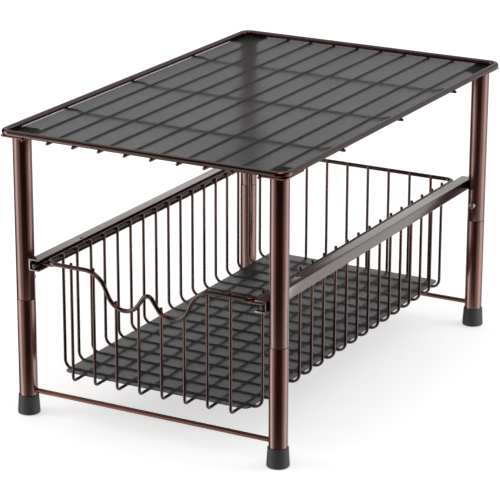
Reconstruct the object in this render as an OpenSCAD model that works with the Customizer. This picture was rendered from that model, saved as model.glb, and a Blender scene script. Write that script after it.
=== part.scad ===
// Pull out cabinet basket: a wire basket on two side channels under a wire
// shelf, carried by four tube legs that come apart at mid height.
// Millimetres. +Z up, front (the wave handle) faces -Y, origin on the floor
// under the middle of the shelf.

/* [Overall] */
// Width of the shelf over its rim rod
shelf_w = 287; // [240:1:340]
// Depth of the shelf over its rim rod
shelf_d = 450; // [380:1:520]
// Height of the rim's top above the floor
shelf_h = 269; // [235:1:320]

/* [Shelf] */
// Diameter of the rod that forms the shelf's rim
shelf_rim_d = 5.5; // [4.5:0.1:7]
// Radius of the rim's corners, to the rod's middle
shelf_corner_r = 9; // [6:0.5:14]
// Diameter of the shelf's wires
shelf_wire_d = 2.6; // [2:0.1:3.5]
// Number of wires that run front to back
shelf_long_n = 10; // [8:1:12]
// Distance of the outermost of those wires from the rim's outside
shelf_long_in = 26.05; // [25:0.05:40]
// Number of wires that run left to right
shelf_cross_n = 3; // [2:1:5]
// Distance of the outermost of those wires from the rim's outside
shelf_cross_in = 109; // [60:1:140]
// How far the left to right wires stop short of the rim's outside
shelf_cross_back = 0.1; // [0.1:0.1:2]
// Radius of the two bends that bring each of their ends up to the rim
shelf_cross_bend_r = 12; // [6:0.5:24]
// Slope of the wire between those two bends
shelf_cross_slope = 16; // [10:0.5:20]
// Thickness of the four corner plates
plate_t = 1.2; // [1:0.1:2]
// Width of a corner plate, left to right
plate_w = 23; // [20:0.5:24]
// Depth of a corner plate, front to back
plate_d = 34; // [30:0.5:44]
// How far a plate's edges stay inside the rim's outside
plate_inset = 1.4; // [0.8:0.1:2]
// Chamfer of a plate's corners
plate_cut = 3; // [1:0.5:4]

/* [Legs] */
// Outer diameter of the leg tubes
leg_d = 17; // [15:0.5:20]
// Wall of the leg tubes
leg_wall = 1.2; // [1:0.1:1.6]
// Leg axis inwards from the rim's outside, left to right
leg_inset_x = 15; // [13:0.5:16]
// Leg axis inwards from the rim's outside, front to back
leg_inset_y = 17.6; // [14:0.1:20]
// Height of the seam between the lower and upper tubes
seam_z = 110; // [95:1:120]
// Gap that shows as a dark line at the seam
seam_gap = 0.3; // [0.1:0.1:0.6]
// Chamfer of the tube ends at the seam
seam_chamfer = 0.4; // [0.2:0.1:0.6]
// Wall of the inner sleeve that joins two tubes
sleeve_wall = 1.2; // [1:0.1:1.6]
// Length of the sleeve inside the lower tube
sleeve_down = 32; // [24:1:40]
// Length of the sleeve inside the upper tube
sleeve_up = 35; // [30:1:36]
// Radial clearance between the sleeve and the tubes
sleeve_clear = 0.05; // [0.02:0.01:0.1]
// Diameter of the bars that join the lower tubes at front and back
bar_d = 4.5; // [3:0.1:6]
// Height of the bars' middle
bar_z = 22.7; // [21.5:0.1:40]

/* [Feet] */
// Height of a rubber foot
foot_h = 18; // [14:0.5:19]
// Diameter of a foot at the floor
foot_base_d = 20.6; // [19.6:0.1:24]
// Diameter of a foot at its upper edge
foot_top_d = 18.6; // [18:0.1:19.4]
// Thickness of the rubber under the tube
foot_floor = 4; // [3:0.5:6]
// Chamfer of the foot's lower edge
foot_chamfer = 0.8; // [0.4:0.1:1.5]
// Radial clearance between the foot and the tube
foot_clear = 0.03; // [0.01:0.01:0.1]

/* [Locking buttons] */
// Diameter of a button
button_d = 5.5; // [4.5:0.1:6]
// How far a button stands out of its leg
button_out = 4.5; // [3:0.1:4.5]
// Height of a button's middle above the seam
button_up = 16.8; // [15:0.1:20]
// Rounding of a button's tip
button_round = 0.8; // [0.4:0.1:1.2]
// Radial clearance of a button in its holes
button_clear = 0.05; // [0.03:0.01:0.1]
// Diameter of the collar that keeps a button in
collar_d = 7.6; // [6.8:0.1:7.6]
// Thickness of that collar
collar_t = 0.8; // [0.6:0.1:1]
// Width of the leaf spring behind a button
leaf_w = 5; // [4:0.1:5]
// Thickness of that spring
leaf_t = 0.5; // [0.4:0.05:0.6]
// Height of that spring below the button's middle
leaf_drop = 25; // [20:0.5:28]

/* [Rails] */
// Height of a side channel
rail_h = 11; // [10:0.1:14]
// Width of a side channel's flanges
rail_flange = 11; // [10:0.1:12]
// Thickness of the channel's sheet
rail_t = 1.2; // [1:0.1:1.5]
// Height of the channel's underside
rail_z = 139.5; // [138:0.1:145]
// Outer radius of the channel's bends
rail_bend = 1.6; // [1.5:0.1:2]
// How far a channel reaches past the leg's middle at each end
rail_over = 7; // [4:0.1:10]
// Distance of the pressed stop's back from the channel's front end
stop_from_front = 76; // [50:1:120]
// Distance of the stop from the flange's edge
stop_edge = 1.2; // [0.8:0.1:2]
// Gap between the stop's side and the runner that passes it
stop_side_gap = 0.4; // [0.3:0.1:0.8]
// How far the stop hangs below the top of the rods that it catches
stop_catch = 1; // [0.6:0.1:1.4]
// Height of the turned up end that stops the basket at the back
end_lip = 4; // [3:0.1:6]

/* [Basket] */
// Gap between the basket's rim and the channels' edges
basket_side_gap = 2; // [1:0.1:4]
// Distance of the basket's front behind the channels' front ends
basket_front_in = 2.9; // [1.5:0.1:6]
// Distance of the basket's back before the channels' back ends
basket_rear_in = 6.9; // [4:0.1:12]
// Diameter of the basket's rim rod
basket_rim_d = 4; // [3.5:0.1:5]
// Radius of the rim's corners, to the rod's middle
basket_corner_r = 9; // [7:0.5:12]
// Height of the rim rod's middle
basket_rim_z = 147.5; // [147:0.1:148]
// Diameter of the basket's wires
basket_wire_d = 2.8; // [2:0.1:3]
// Number of wires that run down one side, across and up the other
side_wire_n = 17; // [12:1:19]
// Distance of the outermost of those wires from the rim's outside
side_wire_in = 24.7; // [20:0.1:40]
// Number of wires that run down the front, along and up the back
long_wire_n = 8; // [6:1:9]
// Distance of the outermost of those wires from the rim's outside
long_wire_in = 26.15; // [20:0.05:40]
// How far the wires' ends stand above the rim rod's middle
wire_end_up = 2.8; // [2:0.1:4]
// Height of the middle of the wires on the basket's floor
floor_wire_z = 41.2; // [34:0.1:60]
// Bend radius of the side wires
side_bend_r = 8.5; // [5:0.5:12]
// Bend radius of the front to back wires
long_bend_r = 4.5; // [3.5:0.5:8]
// Diameter of the runner rods in the channels
runner_d = 4.6; // [4:0.1:5]
// Gap between a runner and the channel's lower flange
runner_gap = 0.3; // [0.2:0.05:0.5]
// Gap between a runner and the channel's web
runner_side_gap = 1.2; // [0.6:0.1:1.6]
// Diameter of the short rods that join a runner to the rim
link_d = 2.5; // [2:0.1:2.8]
// Distance of those rods behind the front rim and ahead of the back rim
link_in = 4; // [2.5:0.1:6]
// Gap left at each end of the basket's travel
travel_gap = 0.45; // [0.3:0.05:1]

/* [Front handle wave] */
// Height of the wave's two low points
wave_low_z = 116.2; // [100:0.1:125]
// Distance of a low point from the middle
wave_low_x = 24.2; // [20:0.1:30]
// Radius of the low bends
wave_low_r = 17.6; // [10:0.1:20]
// Radius of the middle bend
wave_top_r = 5.4; // [4:0.1:9]
// Slope of the wire on the inner side of a low point
wave_in_angle = 54.8; // [45:0.1:62]
// Slope of the wire on the outer side of a low point
wave_out_angle = 64.3; // [45:0.1:66]
// Radius of the bends at the wave's shoulders
wave_shoulder_r = 23.4; // [10:0.1:26]

/* [Liners] */
// Thickness of the plastic liners
liner_t = 1.2; // [0.6:0.1:2]
// Gap between the shelf's liner and the inside of its rim
shelf_liner_gap = 0.6; // [0.5:0.1:6]
// Gap between the basket's liner and its wires at the sides
basket_liner_side_gap = 5.5; // [5.5:0.1:12]
// Gap between the basket's liner and its wires at the front and back
basket_liner_end_gap = 4.5; // [4:0.1:12]
// Lift of the basket's liner where the bends carry its edges
basket_liner_lift = 0.25; // [0.25:0.05:0.9]
// Radius of the liners' corners
liner_corner_r = 6; // [3:0.5:12]

/* [Hidden] */
$fn = 48;

// Colours
bronze = [0.20, 0.12, 0.10];
bronze_light = [0.36, 0.26, 0.23];
sheet_grey = [0.55, 0.52, 0.50];
rubber_grey = [0.22, 0.22, 0.22];
liner_grey = [0.42, 0.42, 0.42, 0.85];
steel_grey = [0.45, 0.46, 0.46];

// Shelf, from the top down
rim_x = shelf_w / 2 - shelf_rim_d / 2;
rim_y = shelf_d / 2 - shelf_rim_d / 2;
rim_z = shelf_h - shelf_rim_d / 2;
rim_under = shelf_h - shelf_rim_d;
long_wire_z = rim_under - shelf_wire_d / 2;
cross_wire_z = long_wire_z - shelf_wire_d;
plate_z = rim_under - plate_t;

// Legs
leg_x = shelf_w / 2 - leg_inset_x;
leg_y = shelf_d / 2 - leg_inset_y;
leg_r = leg_d / 2;
leg_in_r = leg_r - leg_wall;
leg_top = plate_z;
sleeve_r = leg_in_r - sleeve_clear;
sleeve_in_r = sleeve_r - sleeve_wall;

// Buttons: distances run from the leg's axis towards the button's tip
button_z = seam_z + button_up;
button_hole_d = button_d + 2 * button_clear;
button_tip = leg_r + button_out;
collar_face = sqrt(pow(sleeve_in_r - 0.25, 2) - pow(collar_d / 2, 2));
collar_back = collar_face - collar_t;
leaf_front = collar_back - runner_gap;
leaf_back = -sqrt(pow(sleeve_in_r - 0.05, 2) - pow(leaf_w / 2, 2));

// Rails
rail_x = leg_x - leg_r;
rail_mouth = rail_x - rail_flange;
rail_y = leg_y + rail_over;
rail_floor = rail_z + rail_t;
rail_ceiling = rail_z + rail_h - rail_t;

// Basket
basket_w = 2 * (rail_mouth - basket_side_gap);
basket_d = 2 * rail_y - basket_front_in - basket_rear_in;
basket_back = (basket_front_in - basket_rear_in) / 2;
brim_x = basket_w / 2 - basket_rim_d / 2;
brim_front = basket_back - basket_d / 2 + basket_rim_d / 2;
brim_rear = basket_back + basket_d / 2 - basket_rim_d / 2;
side_wire_x = brim_x - basket_rim_d / 2 - basket_wire_d / 2;
wire_front = brim_front + basket_rim_d / 2 + basket_wire_d / 2;
wire_rear = brim_rear - basket_rim_d / 2 - basket_wire_d / 2;
wire_top = basket_rim_z + wire_end_up;
low_wire_z = floor_wire_z - basket_wire_d;
bliner_z = floor_wire_z + basket_wire_d / 2 + basket_liner_lift;

// Runners
runner_x = rail_x - rail_t - runner_side_gap - runner_d / 2;
runner_z = rail_floor + runner_gap + runner_d / 2;
link_top = basket_rim_z - basket_rim_d / 2;
link_z = link_top - link_d / 2;
runner_front = -rail_y + 0.8;
runner_rear = rail_y - rail_t - travel_gap;
link_front = brim_front + link_in;
link_rear = brim_rear - link_in;
stop_y = -rail_y + stop_from_front;
stop_x = rail_mouth + stop_edge;
stop_w = runner_x - runner_d / 2 - stop_side_gap - stop_x;
stop_low_z = link_top - stop_catch;
stop_len = rail_ceiling - stop_low_z;
hair = 0.02;
travel = link_rear - link_d / 2 - stop_y - travel_gap;

// Wave of the front rim, worked out from its middle outwards: the middle
// bend, a straight, the low bend, a straight and the shoulder bend
low_cz = wave_low_z + wave_low_r;
in_x = wave_low_x - wave_low_r * sin(wave_in_angle);
in_z = low_cz - wave_low_r * cos(wave_in_angle);
top_x = wave_top_r * sin(wave_in_angle);
top_z = in_z + (in_x - top_x) * tan(wave_in_angle);
top_cz = top_z - wave_top_r * cos(wave_in_angle);
out_x = wave_low_x + wave_low_r * sin(wave_out_angle);
out_z = low_cz - wave_low_r * cos(wave_out_angle);
meet_x = out_x + (basket_rim_z - out_z) / tan(wave_out_angle);
// The shoulder bends get smaller where the slopes are too short for them
slope_length = (basket_rim_z - out_z) / sin(wave_out_angle);
shoulder_r = min(wave_shoulder_r, 0.9 * slope_length / tan(wave_out_angle / 2));
shoulder_cut = shoulder_r * tan(wave_out_angle / 2);
shoulder_x = meet_x + shoulder_cut;
shoulder_low_x = meet_x - shoulder_cut * cos(wave_out_angle);
shoulder_low_z = basket_rim_z - shoulder_cut * sin(wave_out_angle);

// The straights between two bends are this much thinner than the bends and
// reach this far into them, so that each joint is a whole one
run_step = 0.04;
run_sink = 0.25;

// Height of the front rim's middle at a distance x from the middle
function wave_z(x) =
    x < top_x ? top_cz + sqrt(wave_top_r * wave_top_r - x * x)
    : x < in_x ? top_z - (x - top_x) * tan(wave_in_angle)
    : x < out_x ? low_cz - sqrt(pow(wave_low_r, 2) - pow(x - wave_low_x, 2))
    : x < shoulder_low_x ? out_z + (x - out_x) * tan(wave_out_angle)
    : x < shoulder_x ? basket_rim_z - shoulder_r
        + sqrt(pow(shoulder_r, 2) - pow(shoulder_x - x, 2))
    : basket_rim_z;

// Place of one of n items that are spread evenly from -reach to reach
function spread(i, n, reach) = reach * (2 * i / (n - 1) - 1);

// ---- shared shapes ----

// Straight rod along X, Y or Z, from a to b
module rod_x(a, b, y, z, d) {
    translate([a, y, z])
        rotate([0, 90, 0])
            cylinder(d = d, h = b - a);
}

module rod_y(x, a, b, z, d) {
    translate([x, b, z])
        rotate([90, 0, 0])
            cylinder(d = d, h = b - a);
}

module rod_z(x, y, a, b, d) {
    translate([x, y, a])
        cylinder(d = d, h = b - a);
}

// Bend of a rod in the XY plane, about the origin, from angle a over sweep s
module bend_flat(r, d, a, s) {
    rotate([0, 0, a])
        rotate_extrude(angle = s)
            translate([r, 0])
                circle(d = d);
}

// The same bend stood up in the XZ plane
module bend_up(r, d, a, s) {
    rotate([90, 0, 0])
        bend_flat(r, d, a, s);
}

// A straight between two bends in the XZ plane, sunk a little way into both
module sunk_run(x, z, slope, run, d) {
    translate([x, 0, z])
        rotate([0, 90 - slope, 0])
            translate([0, 0, -run_sink])
                cylinder(d = d - run_step, h = run + 2 * run_sink);
}

// Wire bent to a U in the XZ plane at y = 0, open at the top
module u_wire(half, low, left_top, right_top, r, d) {
    rod_z(-half, 0, low + r, left_top, d);
    rod_z(half, 0, low + r, right_top, d);
    rod_x(-half + r, half - r, 0, low, d);
    translate([-half + r, 0, low + r])
        bend_up(r, d, 180, 90);
    translate([half - r, 0, low + r])
        bend_up(r, d, 270, 90);
}

// Flat sheet with round corners, its underside at z = 0
module sheet(half_x, half_y, r, t) {
    linear_extrude(t)
        union() {
            square([2 * (half_x - r), 2 * half_y], center = true);
            square([2 * half_x, 2 * (half_y - r)], center = true);
            for (sx = [-1, 1], sy = [-1, 1])
                translate([sx * (half_x - r), sy * (half_y - r)])
                    circle(r);
        }
}

// ---- shelf ----

module shelf_rim() {
    r = shelf_corner_r;
    color(bronze_light)
        union() {
            rod_x(-rim_x + r, rim_x - r, -rim_y, rim_z, shelf_rim_d);
            rod_x(-rim_x + r, rim_x - r, rim_y, rim_z, shelf_rim_d);
            rod_y(-rim_x, -rim_y + r, rim_y - r, rim_z, shelf_rim_d);
            rod_y(rim_x, -rim_y + r, rim_y - r, rim_z, shelf_rim_d);
            for (k = [0:3]) {
                sx = (k == 0 || k == 3) ? 1 : -1;
                sy = k < 2 ? 1 : -1;
                translate([sx * (rim_x - r), sy * (rim_y - r), rim_z])
                    bend_flat(r, shelf_rim_d, 90 * k, 90);
            }
        }
}

module shelf_long_wires() {
    reach = shelf_w / 2 - shelf_long_in;
    color(bronze)
        for (i = [0:shelf_long_n - 1])
            rod_y(spread(i, shelf_long_n, reach),
                  -shelf_d / 2, shelf_d / 2, long_wire_z, shelf_wire_d);
}

// A left to right wire: its middle is level under the long wires. Outside
// them each end rises through two bends and is level again under the rim. The
// ends are parted from the middle by hair lines, like the side channels
module cross_wire() {
    d = shelf_wire_d;
    a = shelf_cross_slope;
    rise = long_wire_z - cross_wire_z;
    r = min(shelf_cross_bend_r, 0.4 * rise / (1 - cos(a)));
    run = (rise - 2 * r * (1 - cos(a))) / sin(a);
    low = shelf_w / 2 - shelf_long_in + d * 0.6;
    high = low + 2 * r * sin(a) + run * cos(a);
    rod_x(-low + hair, low - hair, 0, cross_wire_z, d);
    for (side = [0, 1])
        mirror([side, 0, 0])
            union() {
                translate([low, 0, cross_wire_z + r])
                    bend_up(r, d, 270, a);
                sunk_run(low + r * sin(a), cross_wire_z + r * (1 - cos(a)),
                         a, run, d);
                translate([high, 0, long_wire_z - r])
                    bend_up(r, d, 90, a);
                rod_x(high, shelf_w / 2 - shelf_cross_back, 0, long_wire_z, d);
            }
}

module shelf_cross_wires() {
    reach = shelf_d / 2 - shelf_cross_in;
    color(bronze)
        for (i = [0:shelf_cross_n - 1])
            translate([0, spread(i, shelf_cross_n, reach), 0])
                cross_wire();
}

module shelf_liner() {
    half_x = rim_x - shelf_rim_d / 2 - shelf_liner_gap;
    half_y = rim_y - shelf_rim_d / 2 - shelf_liner_gap;
    color(liner_grey)
        translate([0, 0, rim_under])
            sheet(half_x, half_y, liner_corner_r, liner_t);
}

// Plate that closes a leg's top and carries the rim's corner, drawn for the
// back right corner
module corner_plate() {
    x1 = shelf_w / 2 - plate_inset;
    y1 = shelf_d / 2 - plate_inset;
    x0 = x1 - plate_w;
    y0 = y1 - plate_d;
    c = plate_cut;
    color(bronze)
        translate([0, 0, plate_z])
            linear_extrude(plate_t)
                polygon([[x0, y0 + c], [x0 + c, y0], [x1, y0], [x1, y1 - c],
                         [x1 - c, y1], [x0, y1]]);
}

// ---- legs ----

// Tube with small chamfers at both ends, standing on z = a
module leg_tube(a, b) {
    c = seam_chamfer;
    rotate_extrude()
        polygon([[leg_in_r, a], [leg_r - c, a], [leg_r, a + c],
                 [leg_r, b - c], [leg_r - c, b], [leg_in_r, b]]);
}

// Hole for a button, towards +Y
module button_hole() {
    translate([0, 0, button_z])
        rotate([-90, 0, 0])
            cylinder(d = button_hole_d, h = leg_r + 1);
}

module upper_leg() {
    color(bronze)
        difference() {
            leg_tube(seam_z + seam_gap / 2, leg_top);
            button_hole();
        }
}

module lower_leg() {
    color(bronze)
        leg_tube(foot_floor, seam_z - seam_gap / 2);
}

module leg_sleeve() {
    color(steel_grey)
        difference() {
            translate([0, 0, seam_z - sleeve_down])
                cylinder(r = sleeve_r, h = sleeve_down + sleeve_up);
            translate([0, 0, seam_z - sleeve_down - 1])
                cylinder(r = sleeve_in_r, h = sleeve_down + sleeve_up + 2);
            button_hole();
        }
}

module foot() {
    top_r = foot_top_d / 2;
    base_r = foot_base_d / 2;
    c = foot_chamfer;
    hole_r = leg_r + foot_clear;
    color(rubber_grey)
        rotate_extrude()
            polygon([[0, 0], [base_r - c, 0], [base_r, c], [top_r, foot_h],
                     [hole_r, foot_h], [hole_r, foot_floor], [0, foot_floor]]);
}

// Bar between two lower tubes, its ends shaped to them
module leg_bar() {
    color(bronze_light)
        difference() {
            rod_x(-leg_x, leg_x, 0, bar_z, bar_d);
            for (s = [-1, 1])
                rod_z(s * leg_x, 0, 0, bar_z + bar_d, leg_d);
        }
}

// ---- locking buttons, towards +Y ----

module lock_button() {
    e = button_round;
    color(steel_grey)
        translate([0, 0, button_z])
            rotate([-90, 0, 0])
                rotate_extrude()
                    polygon([[0, collar_back],
                             [collar_d / 2, collar_back],
                             [collar_d / 2, collar_face],
                             [button_d / 2, collar_face],
                             [button_d / 2, button_tip - e],
                             [button_d / 2 - e, button_tip],
                             [0, button_tip]]);
}

// V shaped strip: one arm along the sleeve's far wall, one behind the button
module leaf_spring() {
    t = leaf_t;
    f = leaf_front;
    b = leaf_back;
    up = button_d / 2 + 1;
    color(steel_grey)
        translate([leaf_w / 2, 0, button_z])
            rotate([90, 0, -90])
                linear_extrude(leaf_w)
                    polygon([[-b, up], [-b, -leaf_drop + 1],
                             [-b - 1, -leaf_drop], [-b - 2, -leaf_drop],
                             [-b - 3, -leaf_drop + 1], [-f, -up - 1],
                             [-f, up], [-f + t, up], [-f + t, -up - 1],
                             [-b - 3 + t, -leaf_drop + 1 + t],
                             [-b - t, -leaf_drop + 1 + t], [-b - t, up]]);
}

// ---- rails ----

// Channel profile in the XZ plane, its web at x = 0, its mouth towards -X
module rail_profile() {
    w = rail_flange;
    h = rail_h;
    r = rail_bend;
    ri = rail_bend - rail_t;
    difference() {
        union() {
            translate([-w, 0])
                square([w - r, h]);
            translate([-r, r])
                square([r, h - 2 * r]);
            translate([-r, r])
                circle(r);
            translate([-r, h - r])
                circle(r);
        }
        union() {
            translate([-w - 1, rail_t])
                square([w + 1 - rail_t - ri, h - 2 * rail_t]);
            translate([-rail_t - ri, rail_t + ri])
                square([ri, h - 2 * rail_t - 2 * ri]);
            translate([-rail_t - ri, rail_t + ri])
                circle(ri);
            translate([-rail_t - ri, h - rail_t - ri])
                circle(ri);
        }
    }
}

// The right-hand rail: open at the front, with a stop pressed down from its
// top flange and a lip turned up at its back end. Its flanges, web, stop and
// lip are parted by hair lines at their bends, so that each one stays a plain
// plate and the channel between them stays open.
module rail_body() {
    h = hair;
    long = 2 * rail_y;
    web_low = rail_z + rail_bend;
    web_high = rail_z + rail_h - rail_bend;
    color(sheet_grey)
        union() {
            difference() {
                translate([rail_x, rail_y, rail_z])
                    rotate([90, 0, 0])
                        linear_extrude(long)
                            rail_profile();
                translate([stop_x - h, stop_y - stop_len, rail_ceiling - 1])
                    cube([stop_w + 2 * h, stop_len, rail_t + 2]);
                for (z = [web_low, web_high])
                    translate([rail_x - rail_t - 1, -rail_y - 1, z - h / 2])
                        cube([rail_t + 2, long + 2, h]);
            }
            translate([stop_x, stop_y - rail_t - h, stop_low_z])
                cube([stop_w, rail_t, stop_len + rail_t]);
            translate([rail_mouth, rail_y - rail_t, rail_floor + h])
                cube([rail_flange - rail_bend, rail_t, end_lip - rail_t]);
        }
}

// ---- basket ----

// Half of the front rim, from the middle bend to the corner, at y = 0
module wave_half() {
    d = basket_rim_d;
    in_run = (in_x - top_x) / cos(wave_in_angle);
    out_run = (shoulder_low_x - out_x) / cos(wave_out_angle);
    sunk_run(top_x, top_z, -wave_in_angle, in_run, d);
    translate([wave_low_x, 0, low_cz])
        bend_up(wave_low_r, d, 270 - wave_in_angle,
                wave_in_angle + wave_out_angle);
    sunk_run(out_x, out_z, wave_out_angle, out_run, d);
    translate([shoulder_x, 0, basket_rim_z - shoulder_r])
        bend_up(shoulder_r, d, 90, wave_out_angle);
    rod_x(shoulder_x, brim_x - basket_corner_r, 0, basket_rim_z, d);
}

module basket_rim() {
    r = basket_corner_r;
    d = basket_rim_d;
    z = basket_rim_z;
    color(bronze_light)
        union() {
            translate([0, brim_front, 0]) {
                translate([0, 0, top_cz])
                    bend_up(wave_top_r, d, 90 - wave_in_angle,
                            2 * wave_in_angle);
                wave_half();
                mirror([1, 0, 0])
                    wave_half();
            }
            rod_x(-brim_x + r, brim_x - r, brim_rear, z, d);
            for (s = [-1, 1])
                rod_y(s * brim_x, brim_front + r, brim_rear - r, z, d);
            translate([brim_x - r, brim_rear - r, z])
                bend_flat(r, d, 0, 90);
            translate([-brim_x + r, brim_rear - r, z])
                bend_flat(r, d, 90, 90);
            translate([-brim_x + r, brim_front + r, z])
                bend_flat(r, d, 180, 90);
            translate([brim_x - r, brim_front + r, z])
                bend_flat(r, d, 270, 90);
        }
}

module basket_side_wires() {
    reach = basket_d / 2 - side_wire_in;
    color(bronze)
        for (i = [0:side_wire_n - 1])
            translate([0, basket_back + spread(i, side_wire_n, reach), 0])
                u_wire(side_wire_x, floor_wire_z, wire_top, wire_top,
                       side_bend_r, basket_wire_d);
}

// These stop just above the rim: level at the back, along the wave in front
module basket_long_wires() {
    half = (wire_rear - wire_front) / 2;
    reach = basket_w / 2 - long_wire_in;
    color(bronze)
        for (i = [0:long_wire_n - 1]) {
            x = spread(i, long_wire_n, reach);
            front_top = wave_z(abs(x)) + wire_end_up;
            translate([x, basket_back, 0])
                rotate([0, 0, 90])
                    u_wire(half, low_wire_z, front_top, wire_top,
                           long_bend_r, basket_wire_d);
        }
}

// Right-hand runner rod with the two short rods that hold it to the rim
module runner_body() {
    color(bronze_light)
        union() {
            rod_y(runner_x, runner_front, runner_rear, runner_z, runner_d);
            for (y = [link_front, link_rear])
                rod_x(brim_x - basket_rim_d - 0.5, runner_x, y, link_z, link_d);
        }
}

module basket_liner() {
    half_x = side_wire_x - basket_wire_d / 2 - basket_liner_side_gap;
    half_y = (wire_rear - wire_front - basket_wire_d) / 2 - basket_liner_end_gap;
    color(liner_grey)
        translate([0, basket_back, bliner_z])
            sheet(half_x, half_y, liner_corner_r, liner_t);
}

// ---- placing ----

// Puts a shape drawn for the back right corner at another corner
module at_corner(sx, sy) {
    mirror([sx < 0 ? 1 : 0, 0, 0])
        mirror([0, sy < 0 ? 1 : 0, 0])
            children();
}

// Puts a shape drawn on the Z axis, facing +Y, on a leg so that it faces the
// middle of the part
module on_leg(sx, sy) {
    translate([sx * leg_x, sy * leg_y, 0])
        mirror([0, sy > 0 ? 1 : 0, 0])
            children();
}

module corner_plate_front_left() { at_corner(-1, -1) corner_plate(); }
module corner_plate_front_right() { at_corner(1, -1) corner_plate(); }
module corner_plate_back_left() { at_corner(-1, 1) corner_plate(); }
module corner_plate_back_right() { at_corner(1, 1) corner_plate(); }

module upper_leg_front_left() { on_leg(-1, -1) upper_leg(); }
module upper_leg_front_right() { on_leg(1, -1) upper_leg(); }
module upper_leg_back_left() { on_leg(-1, 1) upper_leg(); }
module upper_leg_back_right() { on_leg(1, 1) upper_leg(); }

module lower_leg_front_left() { on_leg(-1, -1) lower_leg(); }
module lower_leg_front_right() { on_leg(1, -1) lower_leg(); }
module lower_leg_back_left() { on_leg(-1, 1) lower_leg(); }
module lower_leg_back_right() { on_leg(1, 1) lower_leg(); }

module leg_sleeve_front_left() { on_leg(-1, -1) leg_sleeve(); }
module leg_sleeve_front_right() { on_leg(1, -1) leg_sleeve(); }
module leg_sleeve_back_left() { on_leg(-1, 1) leg_sleeve(); }
module leg_sleeve_back_right() { on_leg(1, 1) leg_sleeve(); }

module foot_front_left() { on_leg(-1, -1) foot(); }
module foot_front_right() { on_leg(1, -1) foot(); }
module foot_back_left() { on_leg(-1, 1) foot(); }
module foot_back_right() { on_leg(1, 1) foot(); }

module front_bar() { translate([0, -leg_y, 0]) leg_bar(); }
module back_bar() { translate([0, leg_y, 0]) leg_bar(); }

module rail_right() { rail_body(); }
module rail_left() { mirror([1, 0, 0]) rail_body(); }

module lock_button_front_left() { on_leg(-1, -1) lock_button(); }
module lock_button_front_right() { on_leg(1, -1) lock_button(); }
module lock_button_back_left() { on_leg(-1, 1) lock_button(); }
module lock_button_back_right() { on_leg(1, 1) lock_button(); }

module leaf_spring_front_left() { on_leg(-1, -1) leaf_spring(); }
module leaf_spring_front_right() { on_leg(1, -1) leaf_spring(); }
module leaf_spring_back_left() { on_leg(-1, 1) leaf_spring(); }
module leaf_spring_back_right() { on_leg(1, 1) leaf_spring(); }

module runner_right() { runner_body(); }
module runner_left() { mirror([1, 0, 0]) runner_body(); }

shelf_rim();
shelf_long_wires();
shelf_cross_wires();
shelf_liner();
corner_plate_front_left();
corner_plate_front_right();
corner_plate_back_left();
corner_plate_back_right();
upper_leg_front_left();
upper_leg_front_right();
upper_leg_back_left();
upper_leg_back_right();
lower_leg_front_left();
lower_leg_front_right();
lower_leg_back_left();
lower_leg_back_right();
leg_sleeve_front_left();
leg_sleeve_front_right();
leg_sleeve_back_left();
leg_sleeve_back_right();
foot_front_left();
foot_front_right();
foot_back_left();
foot_back_right();
front_bar();
back_bar();
rail_left();
rail_right();
lock_button_front_left();
lock_button_front_right();
lock_button_back_left();
lock_button_back_right();
leaf_spring_front_left();
leaf_spring_front_right();
leaf_spring_back_left();
leaf_spring_back_right();
basket_rim();
basket_side_wires();
basket_long_wires();
runner_left();
runner_right();
basket_liner();
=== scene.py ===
"""Pull out cabinet basket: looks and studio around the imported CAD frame.

Each piece is built where the CAD has its part, in millimetres, and Part.make() turns it to metres.
The camera and the studio are in metres from the start.
"""

import math

import bmesh
import bpy
import numpy as np
from mathutils import Matrix, Vector


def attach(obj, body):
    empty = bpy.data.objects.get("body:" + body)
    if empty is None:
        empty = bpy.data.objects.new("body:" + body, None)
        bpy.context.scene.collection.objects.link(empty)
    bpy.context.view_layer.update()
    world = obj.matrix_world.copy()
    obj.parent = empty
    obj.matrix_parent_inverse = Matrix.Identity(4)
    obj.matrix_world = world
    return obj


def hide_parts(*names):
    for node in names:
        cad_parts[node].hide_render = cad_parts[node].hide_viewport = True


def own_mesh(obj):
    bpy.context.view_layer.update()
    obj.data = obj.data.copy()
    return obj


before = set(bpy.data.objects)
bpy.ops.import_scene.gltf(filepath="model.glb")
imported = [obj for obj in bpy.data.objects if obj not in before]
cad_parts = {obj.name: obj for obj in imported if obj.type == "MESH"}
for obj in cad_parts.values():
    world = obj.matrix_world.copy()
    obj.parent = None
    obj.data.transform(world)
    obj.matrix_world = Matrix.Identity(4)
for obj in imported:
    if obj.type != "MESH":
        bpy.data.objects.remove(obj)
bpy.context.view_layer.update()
MM = 0.001

# ---------------------------------------------------------------------------
# Camera: the photograph's place, in metres
# ---------------------------------------------------------------------------
CAM_AT = (1.042787, -1.930697, 0.832522)
CAM_AZ = math.radians(28.6753)
CAM_EL = math.radians(18.0720)
CAM_ROLL = math.radians(0.1721)
CAM_LENS, CAM_SENSOR, CAM_FAR = 176.06, 36.0, 50.0


def place_camera():
    """The camera stands at CAM_AT, turned, tipped and then rolled about its own axis."""
    back = Vector((math.sin(CAM_AZ) * math.cos(CAM_EL),
                   -math.cos(CAM_AZ) * math.cos(CAM_EL), math.sin(CAM_EL)))
    level_right = Vector((math.cos(CAM_AZ), math.sin(CAM_AZ), 0.0))
    level_up = back.cross(level_right)
    right = math.cos(CAM_ROLL) * level_right + math.sin(CAM_ROLL) * level_up
    up = -math.sin(CAM_ROLL) * level_right + math.cos(CAM_ROLL) * level_up
    data = bpy.data.cameras.new("camera")
    data.lens = CAM_LENS
    data.sensor_width = CAM_SENSOR
    data.clip_end = CAM_FAR
    camera = bpy.data.objects.new("camera", data)
    bpy.context.scene.collection.objects.link(camera)
    pose = Matrix((right, up, back)).transposed().to_4x4()
    pose.translation = CAM_AT
    camera.matrix_world = pose
    bpy.context.scene.camera = camera


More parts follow.
